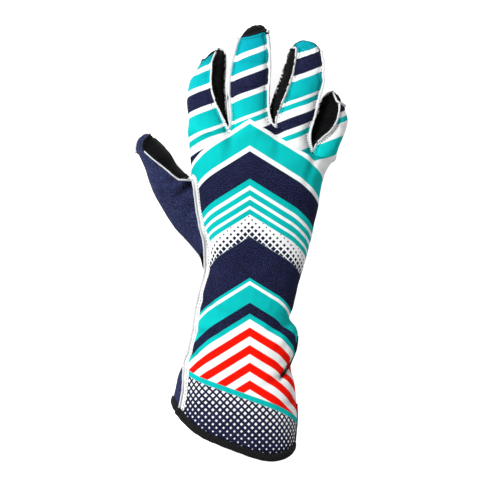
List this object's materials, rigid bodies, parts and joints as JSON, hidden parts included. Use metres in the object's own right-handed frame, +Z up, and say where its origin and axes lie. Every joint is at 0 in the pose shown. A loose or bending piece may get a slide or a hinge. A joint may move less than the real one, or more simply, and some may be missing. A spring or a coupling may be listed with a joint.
{
  "type": "karting glove",
  "caption": "Long-cuffed right-hand karting glove with printed back, black suede palm, navy thumb and under-cuff, raised white outside seams and a bound hem, lying palm down.",
  "frame": {"origin": "On the surface that the glove lies on, below the middle of its footprint.", "axes": "+Y points from the cuff to the fingertips, +Z up out of the back of the hand, +X to the little finger's side, so the thumb is at -X."},
  "size_m": [0.1538, 0.318, 0.042],
  "materials": {
    "print_cloth": "matt printed stretch knit in teal, navy, white and red bands",
    "navy_cloth": "matt navy knit with a fine heathered grain",
    "black_suede": "matt black synthetic suede with a short nap",
    "white_seam": "matt white seam edge with overlock stitches",
    "dark_seam": "matt black overlocked seam edge",
    "hem_tape": "matt charcoal knit binding tape"
  },
  "bodies": {
    "root": {"back_panel": "print_cloth", "cuff_under_panel": "navy_cloth", "palm_panel": "black_suede", "fourchette_index_middle": "black_suede", "fourchette_middle_ring": "black_suede", "fourchette_ring_little": "black_suede", "thumb_back_panel": "navy_cloth", "thumb_front_panel": "black_suede", "back_seam": "white_seam", "palm_seam_index_middle": "white_seam", "palm_seam_middle_ring": "white_seam", "palm_seam_ring_little": "white_seam", "thumb_seam": "white_seam", "thumb_base_seam": "dark_seam", "wrist_seam": "dark_seam", "hem_binding": "hem_tape"}
  },
  "joints": []
}
